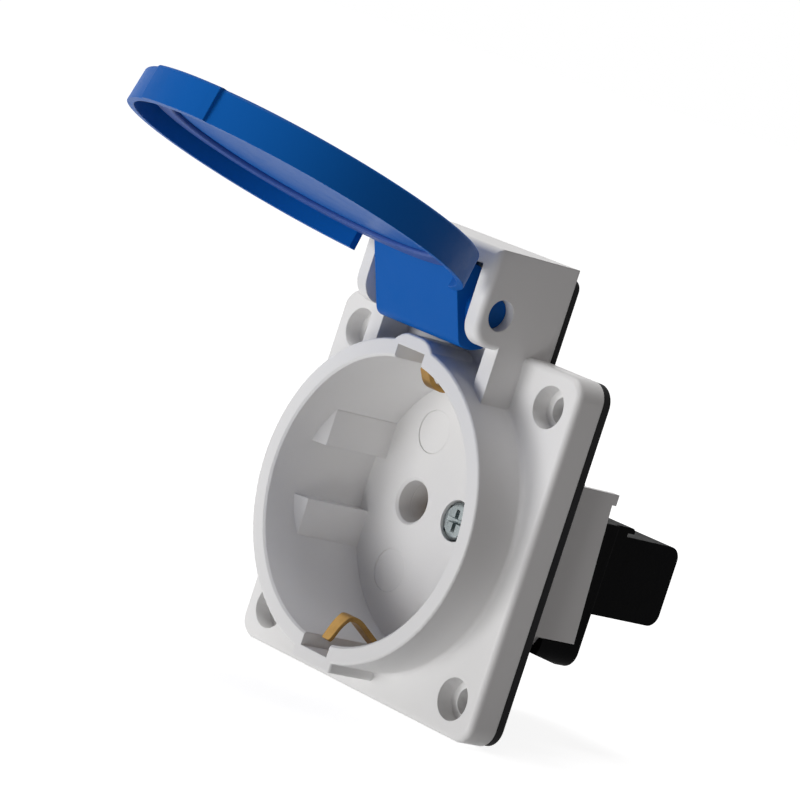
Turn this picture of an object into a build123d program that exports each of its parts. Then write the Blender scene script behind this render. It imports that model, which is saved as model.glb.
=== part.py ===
from build123d import *
import math
import os

# Panel socket outlet with side earth clips and a hinged splash lid, standing open.
# Millimetres. X right seen from the front, the front faces -Y, +Z up.
# The origin is on the well axis, in the plane of the flange's rear face.

# flange, gasket and fixing holes
flange_margin = 3.1
flange_thickness = 4.5
flange_corner = 2.8
flange_edge = 0.9
gasket_thickness = 1.4
gasket_inset = 0.15
gasket_clearance = 0.5
tongue_side_inset = 0.45
tongue_top_inset = 1.5
tongue_corner = 1.4
hole_inset = 5.0
hole_radius = 1.8
head_recess_radius = 2.85
head_recess_depth = 2.6

# round well and its ring
well_radius = 19.4
ring_thickness = 2.5
ring_proud = 7.8
rim_edge = 0.35
mouth_edge = 0.3
ring_cove = 0.6
well_depth = 17.0
floor_thickness = 2.6
mould_mark_radius = 3.0
mould_mark_depth = 0.12
mould_mark_height = 9.9

# side blocks that guide the plug
block_thickness = 2.2
block_height = 17.7
block_ledge_depth = 6.0
block_lead = 1.4
groove_height = 7.6

# slots for the earth clips, with the bosses that cover them
slot_width = 5.6
slot_depth = 1.6
boss_stand = 0.95
top_boss_half_width = 4.6
top_boss_corner = 3.4
bottom_boss_half_width = 4.1
bottom_boss_corner = 0.5

# pin holes and centre screw
pin_spacing = 19.0
pin_length = 19.0
pin_radius = 2.4
pin_hole_radius = 2.9
pin_hole_chamfer = 0.35
screw_radius = 1.5
screw_clearance = 0.2
screw_length = 7.2
screw_head_radius = 2.6
screw_head_height = 1.2
screw_head_edge = 0.5
screw_recess_radius = 2.85
screw_recess_depth = 1.9
cross_depth = 0.9
cross_width = 0.75
cross_length = 3.2

# hinge block on top of the flange
hinge_half_width = 13.0
ear_thickness = 2.5
hinge_rise = 8.4
hinge_forward = 9.9
hinge_edge = 0.9
axis_forward = 6.4
lobe_radius = 3.2
lobe_drop = 4.6
web_forward = 5.0

# lid
lid_clearance = 0.65
lid_wall = 1.0
lid_roof = 2.1
lid_inner_depth = 2.7
lid_overlap = 1.8
lid_edge = 0.5
lid_draft = 2.0
lid_open_angle = 105.0
stop_clearance = 0.3
arm_reach = 4.8
arm_half_width = 8.7
arm_root = 2.5
barrel_radius = 5.7
arm_heel = 1.8
barrel_back_angle = 62.0
arm_face_offset = 3.75
arm_face_angle = -50.0
thumb_half_width = 6.6
thumb_proud = 0.45
trunnion_radius = 2.0
trunnion_clearance = 0.1
trunnion_recess = 1.5
collar_radius = 2.5
side_play = 0.2
seal_width = 2.8
seal_clearance = 1.3
seal_gap = 0.3

# wings of the housing behind the panel
wing_inset = 1.5
wing_thickness = 1.3
wing_top = 11.0
wing_bottom = 9.7
wing_length = 5.7
wing_lean = 1.4
wing_tab_height = 1.5
wing_tab_length = 0.85

# black insert that carries the contacts
fit = 0.1
base_top = 7.0
base_bottom = 13.2
base_plate = 1.4
base_corner = 2.4
base_front_rise = 1.0
spigot_length = 1.0
thread_insert_radius = 2.3
thread_insert_length = 4.6

# terminal block behind the insert
terminal_half_width = 13.5
terminal_top = 4.9
terminal_bottom = 6.4
terminal_length = 19.2
terminal_edge = 1.8
hump_height = 1.3
hump_length = 8.6
lip_length = 1.2
lip_thickness = 0.8
lip_edge = 0.6
channel_half_width = 3.2
channel_top = 4.2
channel_bottom = 4.6
terminal_back_wall = 2.2
wire_hole_radius = 1.9
wire_hole_height = 0.5
funnel_radius = 2.4
funnel_depth = 1.2
access_radius = 1.95

# contacts
sleeve_grip = 0.05
sleeve_wall = 0.6
sleeve_clearance = 0.25
sleeve_slit = 0.8
sleeve_setback = 3.0
sleeve_closed_length = 1.2
pin_tip_past_sleeve = 1.4
tab_thickness = 0.6
tab_half_width = 1.8
tab_clearance = 0.2
tab_root = 1.8
spring_thickness = 0.6
spring_clearance = 0.05
spring_room = 0.3
spring_setback = 0.4
spring_length = 2.4
spring_opening = 3.0

# earth strap with its two clips
strap_thickness = 0.7
strap_half_width = 2.3
strap_wide_reach = 14.0
clip_half_width = 1.4
clip_bend = 2.5
clip_corner = 0.5
strap_side_room = 0.4
strap_bend = 1.5
clip_leg_gap = 0.5
clip_shoulder = 4.6
clip_turn_depth = 5.3
clip_turn_inset = 4.35
clip_end_depth = 3.0
clip_end_inset = 1.1

# terminal cages, clamping plates and screws
cage_wall = 0.8
cage_length = 6.0
cage_half_width = 3.0
plate_thickness = 0.6
plate_height = 1.6
clamp_screw_radius = 1.5
clamp_screw_end = 6.0
slot_cut_width = 0.6
slot_cut_depth = 0.7

# places that follow from the sizes above
ring_radius = well_radius + ring_thickness
boss_reach = ring_radius + boss_stand
flange_side = 2 * (ring_radius + flange_margin)
hole_pitch = flange_side - 2 * hole_inset
lid_inner_radius = boss_reach + lid_clearance
lid_radius = lid_inner_radius + lid_wall
axis_height = lid_radius + arm_reach
hinge_top = axis_height + hinge_rise
block_flat = well_radius - block_thickness
wing_outer = ring_radius - wing_inset
wing_inner = wing_outer - wing_thickness
flange_back = 0.0
flange_front = flange_back - flange_thickness
rim = flange_front - ring_proud
well_floor = rim + well_depth
housing_back = well_floor + floor_thickness
wing_back = housing_back + wing_length
base_back = wing_back + base_plate
terminal_back = base_back + terminal_length
channel_back = terminal_back - terminal_back_wall
hinge_face = flange_front - hinge_forward
axis_y = flange_front - axis_forward
lid_rim = rim + lid_overlap
lid_ceiling = lid_rim - lid_inner_depth
lid_top = lid_ceiling - lid_roof
ear_inner = hinge_half_width - ear_thickness
pin_x = pin_spacing / 2
sleeve_inner_radius = pin_radius - sleeve_grip
sleeve_radius = sleeve_inner_radius + sleeve_wall
sleeve_front = housing_back + sleeve_setback
sleeve_back = well_floor + pin_length - pin_tip_past_sleeve
sleeve_bore = sleeve_radius + sleeve_clearance
spring_inner = sleeve_radius + spring_clearance
spring_bore = spring_inner + spring_thickness + spring_room
cage_top = channel_top - fit
cage_bottom = channel_bottom - fit
cage_back = channel_back - fit
cage_front = cage_back - cage_length
tab_top = cage_top - cage_wall
tab_back = cage_back - cage_wall / 2
strap_centre = housing_back + strap_thickness / 2
clip_leg_height = well_radius + slot_depth - clip_leg_gap - strap_thickness / 2
terminal_places = (-pin_x, 0.0, pin_x)
hinge_line = Axis((0, axis_y, axis_height), (1, 0, 0))


def roof_height():
    """Height of the roof over the hinge line: the open lid comes to rest under its front edge."""
    lean = math.radians(180 - lid_open_angle)
    reach = (axis_y - lid_top) + stop_clearance
    back = axis_y - hinge_face
    return (reach + back * math.cos(lean)) / math.sin(lean)


def slab(outline, front, back):
    """An outline in X and Z made solid from front to back along Y."""
    return extrude(Plane.XZ.offset(-back) * outline, amount=back - front)


def cross(outline, half_width, centre=0.0):
    """A side outline in Y and Z made solid along X, about the given centre."""
    return Pos(centre, 0, 0) * extrude(Plane.YZ * outline, amount=half_width, both=True)


def rod(radius, front, back, x=0.0, z=0.0):
    """A round bar along Y."""
    return slab(Pos(x, z) * Circle(radius), front, back)


def block(x0, x1, y0, y1, z0, z1):
    """A plain block between two corners."""
    size = Box(x1 - x0, y1 - y0, z1 - z0)
    return Pos((x0 + x1) / 2, (y0 + y1) / 2, (z0 + z1) / 2) * size


def polygon(*points):
    """A closed face through the points."""
    return make_face(Polyline(*points, close=True))


def at_y(edges, y):
    """Those edges that lie in the plane at y."""
    return edges.filter_by_position(Axis.Y, y - 0.01, y + 0.01)


def corner_places():
    """The four fixing holes, as X and Z."""
    return [(p.position.X, p.position.Y) for p in GridLocations(hole_pitch, hole_pitch, 2, 2)]


# Housing, one light grey moulding.

def flange():
    """The square flange with its rounded front edge."""
    outline = RectangleRounded(flange_side, flange_side, flange_corner)
    plate = slab(outline, flange_front, flange_back)
    return fillet(at_y(plate.edges(), flange_front), flange_edge)


def ring_wall():
    """The ring with the bosses over the two clip slots, carried on behind the flange with flat sides."""
    top = RectangleRounded(2 * top_boss_half_width, boss_reach, top_boss_corner)
    bottom = RectangleRounded(2 * bottom_boss_half_width, boss_reach, bottom_boss_corner)
    rear = Circle(ring_radius) & Rectangle(2 * wing_outer, 2 * ring_radius)
    wall = slab(rear, flange_back, housing_back) + ring_root()
    for outline in (Circle(ring_radius), Pos(0, boss_reach / 2) * top, Pos(0, -boss_reach / 2) * bottom):
        front = slab(outline, rim, flange_back)
        wall += fillet(at_y(front.edges(), rim), rim_edge)
    return wall


def ring_root():
    """The small hollow fillet between ring and flange."""
    outline = Pos(ring_radius, flange_front) * (
        Pos(0, -ring_cove / 2) * Rectangle(2 * ring_cove, ring_cove)
        - Pos(ring_cove, -ring_cove) * Circle(ring_cove))
    return revolve(outline, Axis.Y)


def well():
    """The space for the plug, with a broken edge at its mouth."""
    mouth = Cone(well_radius, well_radius + mouth_edge, mouth_edge)
    mouth = Pos(0, rim + mouth_edge / 2, 0) * Rot(90, 0, 0) * mouth
    return rod(well_radius, rim - 1, well_floor) + mouth


def hinge_block():
    """Two ears joined by a roof and a back wall, each ear standing on a narrow web."""
    lobe_bottom = axis_height - lobe_drop
    web_face = flange_front - web_forward
    side = polygon(
        (flange_back, 0.0),
        (flange_back, hinge_top),
        (hinge_face, hinge_top),
        (hinge_face, lobe_bottom),
        (web_face, lobe_bottom),
        (web_face, 0.0),
    )
    body = cross(side, hinge_half_width)
    lobe = at_y(body.edges().filter_by(Axis.X), hinge_face).sort_by(Axis.Z)[0]
    body = fillet(lobe, lobe_radius)
    front = at_y(body.faces(), hinge_face).sort_by(Axis.Y)[0]
    outline = [e for e in front.edges() if e.center().Z > lobe_bottom + lobe_radius + 0.01]
    body = fillet(outline, hinge_edge)
    bay = block(-ear_inner, ear_inner, hinge_face - 1, flange_front, 0, axis_height + roof_height())
    return body - bay


def side_blocks():
    """Plug guides at the left and right of the well, ramped in front, with a groove between each pair."""
    ledge = rim + block_ledge_depth
    root = well_radius + (wing_outer - well_radius) / 2
    segment = Circle(root)
    segment &= Rectangle(2 * ring_radius, block_height)
    segment -= Rectangle(2 * block_flat, block_height)
    segment -= Rectangle(2 * ring_radius, groove_height)
    guides = slab(segment, ledge - 2 * block_lead, well_floor)
    ramp_end = ledge - block_lead * (ring_radius - block_flat) / block_thickness
    for side in (-1, 1):
        ramp = polygon(
            (side * block_flat, ledge),
            (side * ring_radius, ramp_end),
            (side * ring_radius, rim),
            (0, rim),
            (0, ledge),
        )
        guides -= extrude(ramp, amount=block_height, both=True)
    return guides


def clip_slots():
    """Slots in the wall, open to the rim and through the floor, where the earth clips stand."""
    height = 2 * (well_radius + slot_depth)
    outline = Rectangle(slot_width, height) - Rectangle(slot_width, 2 * well_radius - 2)
    return slab(outline, rim - 1, housing_back + 1)


def floor_holes():
    """Pin holes, screw hole with its recess, and four round mould marks."""
    cuts = rod(screw_radius + screw_clearance, well_floor - 1, housing_back + 1)
    cuts += rod(screw_recess_radius, well_floor - 1, well_floor + screw_recess_depth)
    for x in (-pin_x, pin_x):
        cuts += rod(pin_hole_radius, well_floor - 1, housing_back + 1, x)
        mouth = Cone(pin_hole_radius, pin_hole_radius + pin_hole_chamfer, pin_hole_chamfer)
        cuts += Pos(x, well_floor + pin_hole_chamfer / 2, 0) * Rot(90, 0, 0) * mouth
        for z in (-mould_mark_height, mould_mark_height):
            cuts += rod(mould_mark_radius, well_floor - 1, well_floor + mould_mark_depth, x, z)
    return cuts


def wing_rear(z):
    """Where the rear edge of a wing stands at height z: it leans forward towards the top."""
    return wing_back - wing_lean * (z + wing_bottom) / (wing_top + wing_bottom)


def wings():
    """Two flat walls behind the panel that hold the insert between them."""
    tab_foot = wing_top - wing_tab_height
    tab_back = wing_rear(wing_top) + wing_tab_length
    outline = polygon(
        (flange_back, -wing_bottom),
        (wing_back, -wing_bottom),
        (wing_rear(tab_foot), tab_foot),
        (tab_back, tab_foot),
        (tab_back, wing_top),
        (flange_back, wing_top),
    )
    middle = (wing_outer + wing_inner) / 2
    return cross(outline, wing_thickness / 2, -middle) + cross(outline, wing_thickness / 2, middle)


def make_housing():
    """Flange, ring, well, hinge block and wings in one piece."""
    body = flange() + ring_wall() + hinge_block() + wings()
    body -= well()
    body += side_blocks()
    body -= clip_slots()
    body -= floor_holes()
    for x, z in corner_places():
        body -= rod(hole_radius, flange_front - 1, flange_back + 1, x, z)
        body -= rod(head_recess_radius, flange_front - 1, flange_front + head_recess_depth, x, z)
    bore = Pos(axis_y, axis_height) * Circle(trunnion_radius + trunnion_clearance)
    return body - cross(bore, hinge_half_width + 1)


# Seals.

def make_gasket():
    """The rubber seal between flange and panel, with a tongue behind the hinge block."""
    side = flange_side - 2 * gasket_inset
    tongue_width = 2 * (hinge_half_width - tongue_side_inset)
    tongue_height = hinge_top - tongue_top_inset
    outline = RectangleRounded(side, side, flange_corner)
    tongue = RectangleRounded(tongue_width, 2 * tongue_height, tongue_corner)
    outline += tongue & Pos(0, tongue_height / 2) * Rectangle(tongue_width, tongue_height)
    outline -= Circle(ring_radius + gasket_clearance)
    outline -= Rectangle(2 * (wing_outer + gasket_clearance), 2 * (wing_top + gasket_clearance))
    for x, z in corner_places():
        outline -= Pos(x, z) * Circle(hole_radius)
    return slab(outline, flange_back, flange_back + gasket_thickness)


def make_lid_seal():
    """The soft ring inside the lid that meets the rim of the well when the lid is shut."""
    outer = lid_inner_radius - seal_clearance
    outline = Circle(outer) - Circle(outer - seal_width)
    ring = slab(outline, lid_ceiling, rim - seal_gap)
    ring = fillet(at_y(ring.edges(), rim - seal_gap), seal_gap)
    return ring.rotate(hinge_line, -lid_open_angle)


# Lid, one blue moulding, drawn shut and then turned open about its hinge line.

def arm_outline():
    """Side view of the hinge arm about the hinge line: flat inner face, round heel, flush top."""
    turn = math.radians(arm_face_angle)
    normal = Vector(math.cos(turn), math.sin(turn))
    along = Vector(-normal.Y, normal.X)
    heel = normal * arm_face_offset + along * math.sqrt(barrel_radius ** 2 - arm_face_offset ** 2)
    root_z = lid_radius - arm_root - axis_height
    root = normal * arm_face_offset
    root = root + along * ((root_z - root.Y) / along.Y)
    outer = axis_y - lid_top
    back = math.radians(barrel_back_angle)
    crown = Vector(math.cos(back), math.sin(back)) * barrel_radius
    bulge = (heel + crown).normalized() * barrel_radius
    side = make_face([
        ThreePointArc(heel, bulge, crown),
        ThreePointArc(crown, (0, outer), (-outer, 0)),
        Polyline((-outer, 0), (-outer, root_z), root, heel),
    ])
    corner = side.vertices().sort_by_distance(heel)[0]
    return Pos(axis_y, axis_height) * fillet(corner, arm_heel)


def make_lid():
    """Round cap with thumb lip, arm and trunnions; its skirt is cut away between the ears."""
    depth = lid_rim - lid_top
    cap = extrude(Plane.XZ.offset(-lid_rim) * Circle(lid_radius), amount=depth, taper=lid_draft)
    cap = fillet(at_y(cap.edges(), lid_top), lid_edge)
    thumb = Circle(lid_radius + thumb_proud)
    thumb &= Pos(0, -lid_radius) * Rectangle(2 * thumb_half_width, lid_radius)
    lip = slab(thumb, lid_top, lid_rim)
    lip = fillet(at_y(lip.edges().filter_by(GeomType.CIRCLE), lid_top), lid_edge)
    lid = cap + lip - rod(lid_inner_radius, lid_ceiling, lid_rim + 1)
    lid -= block(-ear_inner, ear_inner, lid_ceiling, lid_rim + 1, 0, lid_radius + 1)
    lid += cross(arm_outline(), arm_half_width)
    centre = Pos(axis_y, axis_height)
    lid += cross(centre * Circle(collar_radius), ear_inner - side_play)
    lid += cross(centre * Circle(trunnion_radius), hinge_half_width - trunnion_recess)
    return lid.rotate(hinge_line, -lid_open_angle)


# Black insert and terminal block.

def make_insert_base():
    """The moulding between the wings, wider below and behind them, that carries the contacts."""
    inner = wing_inner - fit
    outer = wing_outer - fit
    lip_top = wing_bottom + fit
    plate = polygon(
        (wing_back + fit, -base_bottom),
        (wing_back + fit, -wing_bottom),
        (wing_rear(base_top) + fit, base_top),
        (base_back, base_top),
        (base_back, -base_bottom),
    )
    between = Pos(0, (base_top - base_bottom) / 2) * Rectangle(2 * inner, base_top + base_bottom)
    lip = Pos(0, -(lip_top + base_bottom) / 2) * Rectangle(2 * outer, base_bottom - lip_top)
    body = cross(plate, outer)
    body += slab(between + lip, housing_back, wing_back + fit)
    corners = body.edges().filter_by(Axis.Y).group_by(Axis.Z)[0]
    body = fillet(corners, base_corner)
    rise = polygon(
        (housing_back - 1, -base_bottom - 1),
        (wing_back, -base_bottom),
        (housing_back, -base_bottom + base_front_rise),
        (housing_back - 1, -base_bottom + base_front_rise),
    )
    body -= cross(rise, wing_outer + 1)
    for x in terminal_places:
        half = channel_half_width - fit
        body += block(x - half, x + half, base_back, base_back + spigot_length, -cage_bottom, cage_top)
    channel = strap_half_width + strap_side_room
    body -= block(-channel, channel, housing_back - 1, housing_back + strap_thickness + fit,
                  -base_bottom - 1, base_top + 1)
    tab = tab_half_width + tab_clearance
    body -= block(-tab, tab, housing_back - 1, base_back + spigot_length + 1,
                  tab_top - tab_thickness - fit, tab_top + fit)
    body -= rod(screw_radius + screw_clearance, housing_back - 1, base_back)
    body -= rod(thread_insert_radius, base_back - thread_insert_length, base_back + spigot_length + 1)
    for x in (-pin_x, pin_x):
        body -= rod(sleeve_bore, housing_back - 1, base_back + spigot_length + 1, x)
        pocket_back = sleeve_front + spring_setback + spring_length + tab_clearance
        body -= rod(spring_bore, housing_back - 1, pocket_back, x)
    return body


def make_terminal_block():
    """The block with three channels, wire holes at the back and screw holes underneath."""
    side = polygon(
        (base_back, -terminal_bottom),
        (terminal_back, -terminal_bottom),
        (terminal_back, terminal_top),
        (base_back, terminal_top),
    )
    side = fillet(side.vertices().group_by(Axis.X)[-1], terminal_edge)
    half = terminal_half_width
    body = cross(side, half)
    hump_back = base_back + hump_length
    hump_top = terminal_top + hump_height
    hump = block(-half, half, base_back, hump_back, terminal_top - fit, hump_top)
    lip = block(-half, half, hump_back - 1, hump_back + lip_length, hump_top - lip_thickness, hump_top)
    hump = hump + lip
    crest = at_y(hump.edges().filter_by(Axis.X), hump_back + lip_length).sort_by(Axis.Z)[-1]
    body += fillet(crest, lip_edge)
    for x in terminal_places:
        body -= block(x - channel_half_width, x + channel_half_width, base_back - 1, channel_back,
                      -channel_bottom, channel_top)
        body -= rod(wire_hole_radius, channel_back - 1, terminal_back + 1, x, wire_hole_height)
        mouth = Cone(wire_hole_radius, funnel_radius, funnel_depth)
        body -= Pos(x, terminal_back - funnel_depth / 2, wire_hole_height) * Rot(-90, 0, 0) * mouth
        access = Cylinder(access_radius, terminal_bottom)
        body -= Pos(x, (cage_front + cage_back) / 2, -terminal_bottom) * access
    return body


# Metal parts.

def make_line_contact(x):
    """A slit brass sleeve for the pin, with a flat tab that runs back into its terminal."""
    sleeve = rod(sleeve_radius, sleeve_front, sleeve_back, x)
    sleeve -= rod(sleeve_inner_radius, sleeve_front - 1, sleeve_back + 1, x)
    slit_back = sleeve_back - sleeve_closed_length
    sleeve -= block(x - sleeve_radius - 1, x + sleeve_radius + 1, sleeve_front - 1, slit_back,
                    -sleeve_slit / 2, sleeve_slit / 2)
    tab = block(x - tab_half_width, x + tab_half_width, sleeve_back - tab_root, tab_back,
                tab_top - tab_thickness, tab_top)
    return sleeve + tab


def make_contact_spring(x):
    """The open steel ring that keeps the sleeve tight on the pin."""
    outline = Circle(spring_inner + spring_thickness) - Circle(spring_inner)
    outline -= Pos(0, -spring_inner) * Rectangle(spring_opening, 2 * spring_inner)
    front = sleeve_front + spring_setback
    return slab(Pos(x, 0) * outline, front, front + spring_length)


def clip_path(way):
    """Half of the strap in side view, from its middle out and forward into the well."""
    return [
        (strap_centre, way * clip_leg_height),
        (well_floor - clip_shoulder, way * clip_leg_height),
        (rim + clip_turn_depth, way * (well_radius - clip_turn_inset)),
        (rim + clip_end_depth, way * (well_radius - clip_end_inset)),
    ]


def make_earth_strap():
    """One bent strip: a clip at each end, a hole for the screw and a tab for the terminal."""
    points = clip_path(-1)[::-1] + clip_path(1)
    bends = (clip_bend, strap_bend, strap_bend, strap_bend, strap_bend, clip_bend)
    line = FilletPolyline(*points, radius=bends)
    strip = cross(trace(line, strap_thickness), clip_half_width)
    ends = strip.edges().filter_by(lambda e: abs(e.length - strap_thickness) < 0.01)
    strip = fillet(ends.sort_by(Axis.Y)[:4], clip_corner)
    strip += block(-strap_half_width, strap_half_width, housing_back, housing_back + strap_thickness,
                   -strap_wide_reach, strap_wide_reach)
    strip += block(-tab_half_width, tab_half_width, strap_centre, tab_back,
                   tab_top - tab_thickness, tab_top)
    return strip - rod(screw_radius + screw_clearance, housing_back - 1, housing_back + 1)


def make_centre_screw():
    """The cross-slotted screw in the well floor that holds the insert to the housing."""
    seat = well_floor + screw_recess_depth
    head = rod(screw_head_radius, seat - screw_head_height, seat)
    head = fillet(at_y(head.edges(), seat - screw_head_height), screw_head_edge)
    for turn in (0, 90):
        bar = Rot(0, turn, 0) * Box(cross_length, cross_depth, cross_width)
        head -= Pos(0, seat - screw_head_height + cross_depth / 2, 0) * bar
    return head + rod(screw_radius, seat, seat + screw_length)


def make_thread_insert():
    """The brass bush in the insert that takes the centre screw."""
    front = base_back - thread_insert_length
    return rod(thread_insert_radius, front, base_back) - rod(screw_radius, front - 1, base_back + 1)


def make_cage(x):
    """A square brass cage round tab and wire, threaded underneath for its screw."""
    low, high = -cage_bottom, cage_top
    body = block(x - cage_half_width, x + cage_half_width, cage_front, cage_back, low, high)
    inner = cage_half_width - cage_wall
    body -= block(x - inner, x + inner, cage_front - 1, cage_back + 1, low + cage_wall, tab_top)
    hole = Pos(x, (cage_front + cage_back) / 2, low) * Cylinder(clamp_screw_radius, 3 * cage_wall)
    return body - hole


def make_clamp_plates():
    """Three small plates that press the wires up against the tabs."""
    half = cage_half_width - cage_wall - fit
    return [block(x - half, x + half, cage_front + fit, cage_back - fit,
                  -plate_height - plate_thickness, -plate_height) for x in terminal_places]


def make_terminal_screws():
    """Three slotted headless screws, turned from below."""
    top = -plate_height - plate_thickness
    screws = []
    for x in terminal_places:
        middle = (cage_front + cage_back) / 2
        shank = Cylinder(clamp_screw_radius, clamp_screw_end + top)
        shank = Pos(x, middle, (top - clamp_screw_end) / 2) * shank
        slot = Box(3 * clamp_screw_radius, slot_cut_width, 2 * slot_cut_depth)
        screws.append(shank - Pos(x, middle, -clamp_screw_end) * slot)
    return screws


pieces = {
    "housing": make_housing(),
    "flange_gasket": make_gasket(),
    "lid": make_lid(),
    "lid_seal": make_lid_seal(),
    "insert_base": make_insert_base(),
    "terminal_block": make_terminal_block(),
    "line_contact": make_line_contact(pin_x),
    "neutral_contact": make_line_contact(-pin_x),
    "line_contact_spring": make_contact_spring(pin_x),
    "neutral_contact_spring": make_contact_spring(-pin_x),
    "earth_strap": make_earth_strap(),
    "centre_screw": make_centre_screw(),
    "thread_insert": make_thread_insert(),
    "line_terminal_cage": make_cage(pin_x),
    "neutral_terminal_cage": make_cage(-pin_x),
    "earth_terminal_cage": make_cage(0.0),
    "wire_clamp_plates": Compound(children=make_clamp_plates()),
    "terminal_screws": Compound(children=make_terminal_screws()),
}

os.makedirs("parts", exist_ok=True)
for name, piece in pieces.items():
    export_step(piece, f"parts/{name}.step")
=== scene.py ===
import bpy
import bmesh
import math
from mathutils import Matrix, Vector


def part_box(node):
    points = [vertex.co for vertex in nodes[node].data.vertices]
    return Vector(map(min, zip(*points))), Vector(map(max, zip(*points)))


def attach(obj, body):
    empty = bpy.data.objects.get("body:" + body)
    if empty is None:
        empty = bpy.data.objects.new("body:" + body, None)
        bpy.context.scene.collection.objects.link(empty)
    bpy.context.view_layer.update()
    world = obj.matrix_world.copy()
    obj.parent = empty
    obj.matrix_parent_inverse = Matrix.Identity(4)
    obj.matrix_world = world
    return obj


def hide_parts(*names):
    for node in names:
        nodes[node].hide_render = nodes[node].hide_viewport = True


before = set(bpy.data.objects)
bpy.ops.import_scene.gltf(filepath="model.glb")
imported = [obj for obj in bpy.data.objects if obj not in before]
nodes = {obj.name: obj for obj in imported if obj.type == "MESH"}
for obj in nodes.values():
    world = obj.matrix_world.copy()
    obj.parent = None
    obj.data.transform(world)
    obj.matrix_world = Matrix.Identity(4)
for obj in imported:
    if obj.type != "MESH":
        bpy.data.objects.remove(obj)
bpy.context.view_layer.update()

# The view of the photograph: a long lens, seen from the front right and a little above,
# with the picture turned so that the lid rises to the left. All lengths are metres.
camera_data = bpy.data.cameras.new("camera")
camera_data.lens = 214.9
camera_data.sensor_width = 36.0
camera_data.clip_start = 0.01
camera_data.clip_end = 20.0
camera = bpy.data.objects.new("camera", camera_data)
camera.location = (0.46672, -0.42819, 0.06755)
camera.rotation_euler = [math.radians(a) for a in (84.868, -17.926, 49.821)]
bpy.context.scene.collection.objects.link(camera)
bpy.context.scene.camera = camera
bpy.context.scene.view_settings.view_transform = "Standard"

# The studio: a pale floor just under the flange and a white surround. Two soft lamps shine up
# through the floor from low in front, a third hangs above and gives the shadow. The floor fades
# to white far out, and it can't be seen from below.
def plain_view(tree):
    """One for the rays that show the white surround: those of the camera, of gloss and of glass."""
    rays = tree.nodes.new("ShaderNodeLightPath")
    seen = rays.outputs["Is Camera Ray"]
    for label in ("Is Glossy Ray", "Is Transmission Ray"):
        either = tree.nodes.new("ShaderNodeMath")
        either.operation = "MAXIMUM"
        tree.links.new(seen, either.inputs[0])
        tree.links.new(rays.outputs[label], either.inputs[1])
        seen = either.outputs[0]
    return seen


world = bpy.data.worlds.new("studio")
bpy.context.scene.world = world
world.use_nodes = True
tree = world.node_tree
tree.nodes.clear()
sky = tree.nodes.new("ShaderNodeBackground")
sky.inputs["Color"].default_value = (1.0, 0.93, 0.92, 1.0)
sky.inputs["Strength"].default_value = 0.12
paper = tree.nodes.new("ShaderNodeBackground")
paper.inputs["Color"].default_value = (1.0, 1.0, 1.0, 1.0)
paper.inputs["Strength"].default_value = 1.0
choose = tree.nodes.new("ShaderNodeMixShader")
out = tree.nodes.new("ShaderNodeOutputWorld")
tree.links.new(plain_view(tree), choose.inputs["Fac"])
tree.links.new(sky.outputs[0], choose.inputs[1])
tree.links.new(paper.outputs[0], choose.inputs[2])
tree.links.new(choose.outputs[0], out.inputs["Surface"])


def soft_lamp(name, place, aim, size, power):
    """A square lamp at place, turned to face aim."""
    data = bpy.data.lights.new(name, "AREA")
    data.shape = "SQUARE"
    data.size = size
    data.energy = power
    lamp = bpy.data.objects.new(name, data)
    lamp.location = place
    lamp.rotation_euler = (Vector(aim) - Vector(place)).to_track_quat("-Z", "Y").to_euler()
    bpy.context.scene.collection.objects.link(lamp)
    return lamp


soft_lamp("key_lamp", (-0.30, -0.98, -0.25), (0, 0, 0), 0.42, 5.2)
soft_lamp("fill_lamp", (0.35, -0.90, -0.60), (0, 0, 0), 0.42, 3.2)
soft_lamp("top_lamp", (-0.15, -0.20, 0.85), (0, 0, 0), 0.50, 4.2)

floor_height, floor_reach = -0.0252, 6.0
floor_lift_near, floor_lift_far = 0.89, 1.0
fade_start, fade_end = 0.10, 0.40
mesh = bpy.data.meshes.new("floor")
bm = bmesh.new()
bmesh.ops.create_grid(bm, x_segments=1, y_segments=1, size=floor_reach,
                      matrix=Matrix.Translation((0, 0, floor_height)))
bm.to_mesh(mesh)
bm.free()
floor = bpy.data.objects.new("floor", mesh)
bpy.context.scene.collection.objects.link(floor)
floor.visible_shadow = False
floor_skin = bpy.data.materials.new("floor_paper")
floor_skin.use_nodes = True
tree = floor_skin.node_tree
tree.nodes.clear()
matt = tree.nodes.new("ShaderNodeBsdfDiffuse")
matt.inputs["Color"].default_value = (0.45, 0.45, 0.45, 1.0)
lift = tree.nodes.new("ShaderNodeEmission")
lift.inputs["Color"].default_value = (1.0, 1.0, 1.0, 1.0)
spot = tree.nodes.new("ShaderNodeTexCoord")
far = tree.nodes.new("ShaderNodeVectorMath")
far.operation = "LENGTH"
tree.links.new(spot.outputs["Object"], far.inputs[0])
fade = tree.nodes.new("ShaderNodeMapRange")
fade.inputs["From Min"].default_value = fade_start
fade.inputs["From Max"].default_value = fade_end
fade.inputs["To Min"].default_value = floor_lift_near
fade.inputs["To Max"].default_value = floor_lift_far
tree.links.new(far.outputs["Value"], fade.inputs["Value"])
tree.links.new(fade.outputs["Result"], lift.inputs["Strength"])
both = tree.nodes.new("ShaderNodeAddShader")
choose = tree.nodes.new("ShaderNodeMixShader")
out = tree.nodes.new("ShaderNodeOutputMaterial")
tree.links.new(matt.outputs[0], both.inputs[0])
tree.links.new(lift.outputs[0], both.inputs[1])
tree.links.new(plain_view(tree), choose.inputs["Fac"])
tree.links.new(matt.outputs[0], choose.inputs[1])
tree.links.new(both.outputs[0], choose.inputs[2])
side = tree.nodes.new("ShaderNodeNewGeometry")
clear = tree.nodes.new("ShaderNodeBsdfTransparent")
from_below = tree.nodes.new("ShaderNodeMixShader")
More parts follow.
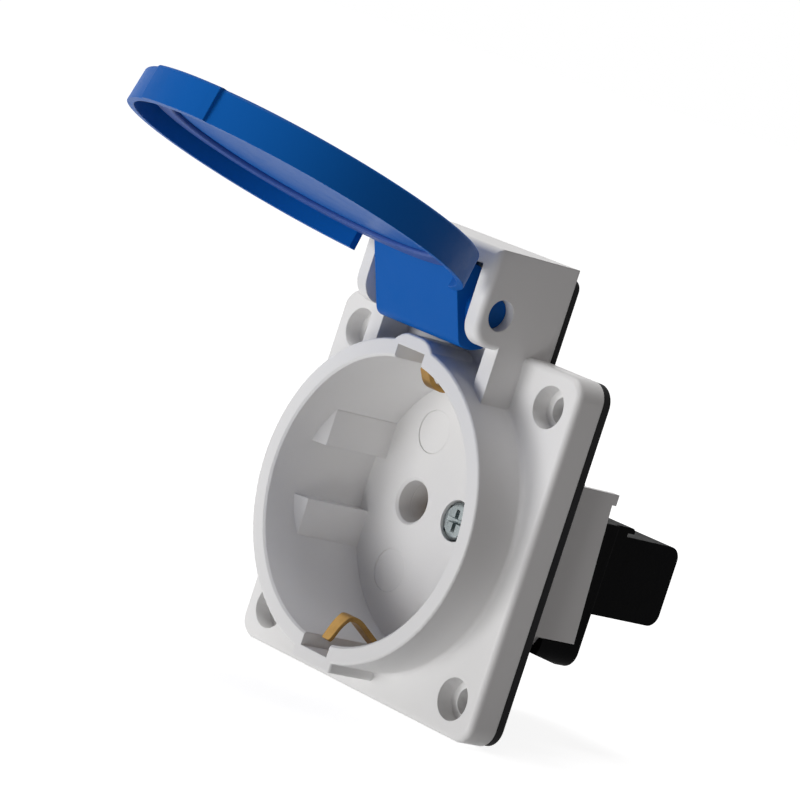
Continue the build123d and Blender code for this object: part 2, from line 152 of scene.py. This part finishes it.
tree.links.new(side.outputs["Backfacing"], from_below.inputs["Fac"])
tree.links.new(choose.outputs[0], from_below.inputs[1])
tree.links.new(clear.outputs[0], from_below.inputs[2])
tree.links.new(from_below.outputs[0], out.inputs["Surface"])
floor.data.materials.append(floor_skin)


# Housing: one injection moulding in light grey plastic, with flange, well, hinge ears and wings.
# Its surfaces come from a finely eroded mould, so they are satin with a fine grain.
def new_group(name, inputs, outputs):
    """An empty shader group with the named sockets."""
    group = bpy.data.node_groups.new(name, "ShaderNodeTree")
    for label, kind, value in inputs:
        socket = group.interface.new_socket(label, in_out="INPUT", socket_type=kind)
        if value is not None:
            socket.default_value = value
    for label, kind in outputs:
        group.interface.new_socket(label, in_out="OUTPUT", socket_type=kind)
    start = group.nodes.new("NodeGroupInput")
    end = group.nodes.new("NodeGroupOutput")
    return group, start, end


def noise(tree, coords, scale, detail=2.0, roughness=0.5):
    """A noise texture of that many grains per metre."""
    node = tree.nodes.new("ShaderNodeTexNoise")
    node.inputs["Detail"].default_value = detail
    node.inputs["Roughness"].default_value = roughness
    tree.links.new(coords, node.inputs["Vector"])
    if isinstance(scale, (int, float)):
        node.inputs["Scale"].default_value = scale
    else:
        tree.links.new(scale, node.inputs["Scale"])
    return node.outputs["Fac"]


def ramp(tree, value, low, high, out_low=0.0, out_high=1.0):
    """A straight ramp of value from low to high, held within its ends."""
    node = tree.nodes.new("ShaderNodeMapRange")
    node.clamp = True
    node.inputs["From Min"].default_value = low
    node.inputs["From Max"].default_value = high
    node.inputs["To Min"].default_value = out_low
    node.inputs["To Max"].default_value = out_high
    tree.links.new(value, node.inputs["Value"])
    return node.outputs["Result"]


def calc(tree, operation, first, second=None):
    """One step of arithmetic; each operand is a socket or a number."""
    node = tree.nodes.new("ShaderNodeMath")
    node.operation = operation
    for socket, value in zip(node.inputs, (first, second)):
        if value is None:
            continue
        if isinstance(value, (int, float)):
            socket.default_value = value
        else:
            tree.links.new(value, socket)
    return node.outputs[0]


def blend_colours(tree, factor, first, second):
    """Two colours mixed by factor; each is a socket or a colour."""
    node = tree.nodes.new("ShaderNodeMix")
    node.data_type = "RGBA"
    for index, value in ((0, factor), (6, first), (7, second)):
        if isinstance(value, (int, float)):
            node.inputs[index].default_value = value
        elif isinstance(value, tuple):
            node.inputs[index].default_value = value
        else:
            tree.links.new(value, node.inputs[index])
    return node.outputs[2]


def build_moulded_skin():
    """Moulded plastic: fine eroded grain, faint flow clouds, and a painted highlight that lightens the
    colour along edges.
    """
    group, start, end = new_group(
        "moulded_skin",
        (("Colour", "NodeSocketColor", (0.5, 0.5, 0.5, 1.0)),
         ("Roughness", "NodeSocketFloat", 0.4),
         ("Grain Scale", "NodeSocketFloat", 2600.0),
         ("Grain Depth", "NodeSocketFloat", 0.1),
         ("Cloud", "NodeSocketFloat", 0.04),
         ("Edge Light", "NodeSocketFloat", 0.1),
         ("Edge Width", "NodeSocketFloat", 0.0002)),
        (("Colour", "NodeSocketColor"), ("Roughness", "NodeSocketFloat"),
         ("Normal", "NodeSocketVector")))
    coords = group.nodes.new("ShaderNodeTexCoord").outputs["Object"]
    rounded = group.nodes.new("ShaderNodeBevel")
    rounded.samples = 6
    group.links.new(start.outputs["Edge Width"], rounded.inputs["Radius"])
    facing = group.nodes.new("ShaderNodeNewGeometry")
    turn = group.nodes.new("ShaderNodeVectorMath")
    turn.operation = "DOT_PRODUCT"
    group.links.new(rounded.outputs[0], turn.inputs[0])
    group.links.new(facing.outputs["Normal"], turn.inputs[1])
    # Painted highlight: the colour is lightened along edges, where the rounded normal turns away from the
    # face's own normal.
    edge = ramp(group, turn.outputs["Value"], 0.995, 0.8)
    cloud = noise(group, coords, scale=70.0, detail=3.0)
    swing = calc(group, "MULTIPLY", calc(group, "SUBTRACT", cloud, 0.5), start.outputs["Cloud"])
    light = calc(group, "ADD", calc(group, "MULTIPLY", edge, start.outputs["Edge Light"]), swing)
    tone = group.nodes.new("ShaderNodeHueSaturation")
    group.links.new(start.outputs["Colour"], tone.inputs["Color"])
    group.links.new(calc(group, "ADD", light, 1.0), tone.inputs["Value"])
    grain = noise(group, coords, start.outputs["Grain Scale"], 2.0, 0.6)
    scuff = ramp(group, noise(group, coords, 340.0, 4.0, 0.7), 0.45, 0.75, -0.03, 0.06)
    rough = calc(group, "ADD", start.outputs["Roughness"], scuff)
    rough = calc(group, "ADD", rough, calc(group, "MULTIPLY", calc(group, "SUBTRACT", grain, 0.5), 0.12))
    bump = group.nodes.new("ShaderNodeBump")
    bump.inputs["Distance"].default_value = 0.00004
    group.links.new(start.outputs["Grain Depth"], bump.inputs["Strength"])
    group.links.new(grain, bump.inputs["Height"])
    group.links.new(rounded.outputs[0], bump.inputs["Normal"])
    group.links.new(tone.outputs[0], end.inputs["Colour"])
    group.links.new(rough, end.inputs["Roughness"])
    group.links.new(bump.outputs[0], end.inputs["Normal"])
    return group


moulded_skin = build_moulded_skin()


def new_material(name, **fixed):
    """A material with one Principled shader; fixed gives the values of its own sockets."""
    material = bpy.data.materials.new(name)
    material.use_nodes = True
    shader = material.node_tree.nodes["Principled BSDF"]
    for label, value in fixed.items():
        shader.inputs[label.replace("_", " ").title().replace("Ior", "IOR")].default_value = value
    return material, material.node_tree, shader


def place_group(tree, group, shader, **values):
    """The group in a material, its outputs tied to the shader."""
    node = tree.nodes.new("ShaderNodeGroup")
    node.node_tree = group
    for label, value in values.items():
        node.inputs[label.replace("_", " ").title()].default_value = value
    for output, target in (("Colour", "Base Color"), ("Roughness", "Roughness"), ("Normal", "Normal")):
        if output in node.outputs:
            tree.links.new(node.outputs[output], shader.inputs[target])
    return node


def dress(node_name, material):
    """The CAD node takes the material on all its faces."""
    for slot in nodes[node_name].material_slots:
        slot.material = material


def moulded_plastic(name, colour, gloss=0.5, **values):
    """A moulded plastic of that colour."""
    material, tree, shader = new_material(name, specular_ior_level=gloss)
    place_group(tree, moulded_skin, shader, colour=(*colour, 1.0), **values)
    return material


housing_plastic = moulded_plastic("housing_plastic", (0.795, 0.79, 0.785), roughness=0.38, gloss=0.2,
                                  grain_scale=2600.0, grain_depth=0.25, cloud=0.03, edge_light=0.06)
dress("housing", housing_plastic)

# Tubes behind the two pin holes, moulded on the rear of the well's floor. They line the way
# from each hole to the mouth of its contact sleeve.
MM = 0.001
weld_gap = 0.002 * MM
floor_rear = 7.3 * MM
pin_places = (-9.5 * MM, 9.5 * MM)
tube_inner, tube_outer, tube_length = 2.9 * MM, 3.7 * MM, 2.8 * MM
tube_edge = 0.15 * MM


def spin_profile(bm, profile, centre, closed, steps=64):
    """Spins points of (radius, depth) round a line along Y through centre."""
    verts = [bm.verts.new((centre[0] + radius, centre[1] + depth, centre[2])) for radius, depth in profile]
    ends = verts[1:] + verts[:1] if closed else verts[1:]
    edges = [bm.edges.new(pair) for pair in zip(verts, ends)]
    bmesh.ops.spin(bm, geom=verts + edges, cent=centre, axis=(0, 1, 0), dvec=(0, 0, 0),
                   angle=2 * math.pi, steps=steps, use_merge=True)


def finish_piece(bm, name, material, body, smooth_angle=40.0):
    """Closes a bmesh into a piece of that body and slot, with sharp edges past smooth_angle."""
    bmesh.ops.remove_doubles(bm, verts=bm.verts, dist=weld_gap)
    bmesh.ops.recalc_face_normals(bm, faces=bm.faces)
    for face in bm.faces:
        face.smooth = True
    limit = math.radians(smooth_angle)
    for edge in bm.edges:
        edge.smooth = len(edge.link_faces) == 2 and edge.calc_face_angle() < limit
    made = bpy.data.meshes.new(name)
    bm.to_mesh(made)
    bm.free()
    piece = bpy.data.objects.new(name, made)
    bpy.context.scene.collection.objects.link(piece)
    made.materials.append(material)
    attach(piece, body)
    return piece


bm = bmesh.new()
for x in pin_places:
    outline = ((tube_inner, 0), (tube_outer, 0), (tube_outer, tube_length - tube_edge),
               (tube_outer - tube_edge, tube_length), (tube_inner, tube_length))
    spin_profile(bm, outline, (x, floor_rear, 0), closed=True)
finish_piece(bm, "pin_hole_tubes", housing_plastic, "outlet")

# Gasket: a flat sheet of black rubber, cut to the flange and pressed between it and the panel.
# The rubber's edges get a strong painted highlight that lightens its colour there.
gasket_rubber = moulded_plastic("gasket_rubber", (0.012, 0.012, 0.013), roughness=0.62,
                                grain_scale=1800.0, grain_depth=0.6, cloud=0.5, edge_light=0.8, gloss=0.08)
dress("flange_gasket", gasket_rubber)

# Lid: a round cap in blue plastic, moulded with its arm, barrel and trunnions in one piece.
# A soft ring of the same blue lies inside it.
lid_plastic = moulded_plastic("lid_plastic", (0.003, 0.105, 0.42), roughness=0.45,
                              grain_scale=2400.0, grain_depth=0.3, cloud=0.08, edge_light=0.35, gloss=0.08)
dress("lid", lid_plastic)
seal_rubber = moulded_plastic("seal_rubber", (0.010, 0.06, 0.28), roughness=0.6,
                              grain_scale=2000.0, grain_depth=0.5, cloud=0.2, edge_light=0.2)
dress("lid_seal", seal_rubber)

# Insert and terminal block: two mouldings in black heat resistant plastic, pushed into the
# housing from behind.
# The black parts' edges get a strong painted highlight that lightens their colour there.
black_plastic = moulded_plastic("black_plastic", (0.0015, 0.0015, 0.0018), roughness=0.5,
                                grain_scale=2200.0, grain_depth=0.5, cloud=0.3, edge_light=0.8, gloss=0.02)
dress("insert_base", black_plastic)
dress("terminal_block", black_plastic)


# Metal parts: brass strip, springs and plated screws.
def build_metal_skin():
    """Worked metal: fine drawn streaks along one way, dull patches, and edges rounded in the shading."""
    group, start, end = new_group(
        "metal_skin",
        (("Colour", "NodeSocketColor", (0.5, 0.5, 0.5, 1.0)),
         ("Dull Colour", "NodeSocketColor", (0.3, 0.3, 0.3, 1.0)),
         ("Roughness", "NodeSocketFloat", 0.3),
         ("Stretch", "NodeSocketVector", (1.0, 0.1, 1.0)),
         ("Streak Scale", "NodeSocketFloat", 4000.0),
         ("Dull", "NodeSocketFloat", 0.3)),
        (("Colour", "NodeSocketColor"), ("Roughness", "NodeSocketFloat"),
         ("Normal", "NodeSocketVector")))
    coords = group.nodes.new("ShaderNodeTexCoord").outputs["Object"]
    along = group.nodes.new("ShaderNodeVectorMath")
    along.operation = "MULTIPLY"
    group.links.new(coords, along.inputs[0])
    group.links.new(start.outputs["Stretch"], along.inputs[1])
    streak = noise(group, along.outputs[0], start.outputs["Streak Scale"], 3.0, 0.6)
    patch = ramp(group, noise(group, coords, 420.0, 4.0, 0.65), 0.42, 0.68)
    dull = calc(group, "MULTIPLY", patch, start.outputs["Dull"])
    colour = blend_colours(group, dull, start.outputs["Colour"], start.outputs["Dull Colour"])
    rough = calc(group, "ADD", start.outputs["Roughness"],
                 calc(group, "MULTIPLY", calc(group, "SUBTRACT", streak, 0.5), 0.25))
    rough = calc(group, "ADD", rough, calc(group, "MULTIPLY", dull, 0.3))
    rounded = group.nodes.new("ShaderNodeBevel")
    rounded.samples = 4
    rounded.inputs["Radius"].default_value = 0.0001
    bump = group.nodes.new("ShaderNodeBump")
    bump.inputs["Strength"].default_value = 0.25
    bump.inputs["Distance"].default_value = 0.00002
    group.links.new(streak, bump.inputs["Height"])
    group.links.new(rounded.outputs[0], bump.inputs["Normal"])
    group.links.new(colour, end.inputs["Colour"])
    group.links.new(rough, end.inputs["Roughness"])
    group.links.new(bump.outputs[0], end.inputs["Normal"])
    return group


metal_skin = build_metal_skin()


def worked_metal(name, colour, dull_colour, **values):
    """A metal of that colour with duller patches."""
    material, tree, shader = new_material(name, metallic=1.0)
    place_group(tree, metal_skin, shader, colour=(*colour, 1.0), dull_colour=(*dull_colour, 1.0), **values)
    return material


brass = worked_metal("brass", (0.47, 0.28, 0.09), (0.26, 0.14, 0.045), roughness=0.36, dull=0.4)
zinc = worked_metal("zinc_plate", (0.34, 0.38, 0.385), (0.20, 0.23, 0.235), roughness=0.26, dull=0.4)
spring_steel = worked_metal("spring_steel", (0.42, 0.42, 0.43), (0.22, 0.20, 0.18), roughness=0.3, dull=0.3)
for name in ("line_contact", "neutral_contact", "thread_insert",
             "line_terminal_cage", "neutral_terminal_cage", "earth_terminal_cage"):
    dress(name, brass)
for name in ("wire_clamp_plates", "terminal_screws"):
    dress(name, zinc)
for name in ("line_contact_spring", "neutral_contact_spring"):
    dress(name, spring_steel)

# Earth strap: one brass strip, bent to a sprung clip at the top and at the bottom of the well.
# The clips are given one by one: the lower one stands further out than the upper one.
clip_leg_front = 0.1 * MM
clip_turn = -7.0 * MM
clip_end = -9.3 * MM
clip_narrowing, end_narrowing = 0.28, 0.2
narrow_start, narrow_full = 4.0 * MM, -1.0 * MM
lower_clip = {"forward": -1.7 * MM, "inward": 0.4 * MM, "end_forward": 0.2 * MM, "end_inward": -1.35 * MM}
upper_clip = {"forward": 0.42 * MM, "inward": -0.78 * MM, "end_forward": 0.0, "end_inward": 0.0}


def share(value, start, end):
    """How far value has gone from start to end, eased at both ends and held within 0 and 1."""
    way = min(max((value - start) / (end - start), 0.0), 1.0)
    return way * way * (3 - 2 * way)


bm = bmesh.new()
bm.from_mesh(nodes["earth_strap"].data)
bmesh.ops.remove_doubles(bm, verts=bm.verts, dist=weld_gap)
for vert in bm.verts:
    depth = vert.co.y
    bend = lower_clip if vert.co.z < 0 else upper_clip
    inward = 1 if vert.co.z < 0 else -1
    to_turn = share(depth, clip_leg_front, clip_turn)
    to_end = min(max((depth - clip_turn) / (clip_end - clip_turn), 0.0), 1.0)
    vert.co.x *= 1 - clip_narrowing * share(depth, narrow_start, narrow_full)
    vert.co.x *= 1 - end_narrowing * to_end
    vert.co.y += bend["forward"] * to_turn + bend["end_forward"] * to_end
    vert.co.z += inward * (bend["inward"] * to_turn + bend["end_inward"] * to_end)
strap = finish_piece(bm, "earth_strap_with_clips", brass, "outlet", smooth_angle=30.0)
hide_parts("earth_strap")

# Centre screw: zinc plated steel with a rounded head, a tapered cross recess and a rolled
# thread. It is turned from the well into the brass bush of the insert.
screw_low, screw_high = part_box("centre_screw")
head_raise = 0.7 * MM
head_radius, head_height = 2.6 * MM, 1.2 * MM + head_raise
head_front = screw_low.y - head_raise
head_flat = head_radius - 0.45 * MM
head_round = ((head_radius - 0.2 * MM, 0.09 * MM), (head_radius - 0.05 * MM, 0.3 * MM),
              (head_radius, 0.65 * MM))
cross_reach, cross_half, cross_depth = 1.55 * MM, 0.36 * MM, 0.85 * MM
cross_taper = 0.45
flat_half = 1.75 * MM
core_radius, crest_radius = 1.22 * MM, 1.5 * MM
thread_pitch = 0.6 * MM
thread_start = 1.2 * MM
thread_steps = 24
tooth_root, tooth_half = core_radius - 0.05 * MM, 0.2 * MM
tip_length, tip_inset = 0.4 * MM, 0.35 * MM
centre = (0.0, head_front, 0.0)

bm = bmesh.new()
half_steps = (0.0, cross_half / 2, cross_half, (cross_half + cross_reach) / 2, cross_reach,
              (cross_reach + flat_half) / 2, flat_half)
places = [-value for value in reversed(half_steps[1:])] + list(half_steps)
cells = len(places) - 1
bmesh.ops.create_grid(bm, x_segments=cells, y_segments=cells, size=1.0)
for vert in bm.verts:
    column = round((vert.co.x + 1) * cells / 2)
    row = round((vert.co.y + 1) * cells / 2)
    vert.co = (places[column], head_front, places[row])
square_edges = [edge for edge in bm.edges if edge.is_boundary]
cross_faces = []
for face in bm.faces:
    middle = face.calc_center_median()
    across, along = sorted((abs(middle.x), abs(middle.z)))
    if across < cross_half and along < cross_reach:
        cross_faces.append(face)
sunk = bmesh.ops.extrude_face_region(bm, geom=cross_faces)["geom"]
sunk_verts = [item for item in sunk if isinstance(item, bmesh.types.BMVert)]
bmesh.ops.scale(bm, vec=(cross_taper, 1, cross_taper), verts=sunk_verts)
bmesh.ops.translate(bm, vec=(0, cross_depth, 0), verts=sunk_verts)
bmesh.ops.delete(bm, geom=[face for face in cross_faces if face.is_valid], context="FACES_ONLY")
rim = bmesh.ops.create_circle(bm, radius=head_flat, segments=4 * cells,
                              matrix=Matrix.Translation(centre) @ Matrix.Rotation(math.radians(90), 4, "X"))
rim_edges = list({edge for vert in rim["verts"] for edge in vert.link_edges})
bmesh.ops.bridge_loops(bm, edges=square_edges + rim_edges)
edges = rim_edges
radius_now, depth_now = head_flat, 0.0
shank_end = screw_high.y - head_front
shank = ((head_radius, head_height), (core_radius, head_height),
         (core_radius, shank_end - tip_length), (core_radius - tip_inset, shank_end))
for radius, depth in head_round + shank:
    ring = bmesh.ops.extrude_edge_only(bm, edges=edges)["geom"]
    ring_verts = [item for item in ring if isinstance(item, bmesh.types.BMVert)]
    edges = [item for item in ring if isinstance(item, bmesh.types.BMEdge)]
    factor = radius / radius_now
    bmesh.ops.scale(bm, vec=(factor, 1, factor), verts=ring_verts)
    bmesh.ops.translate(bm, vec=(0, depth - depth_now, 0), verts=ring_verts)
    radius_now, depth_now = radius, depth
bmesh.ops.edgeloop_fill(bm, edges=edges)
turns = (shank_end - head_height - thread_start - thread_pitch) / thread_pitch
steps = int(turns * thread_steps)
start = head_front + head_height + thread_start
tooth = [bm.verts.new((tooth_root, start - tooth_half, 0)), bm.verts.new((crest_radius, start, 0)),
         bm.verts.new((tooth_root, start + tooth_half, 0))]
tooth_edges = [bm.edges.new((tooth[i], tooth[(i + 1) % 3])) for i in range(3)]
tooth_face = bm.faces.new(tooth)
bmesh.ops.spin(bm, geom=tooth + tooth_edges + [tooth_face], cent=centre, axis=(0, 1, 0),
               dvec=(0, thread_pitch / thread_steps, 0), angle=2 * math.pi * turns, steps=steps,
               use_merge=False)
screw = finish_piece(bm, "cross_slotted_screw", zinc, "outlet")
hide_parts("centre_screw")
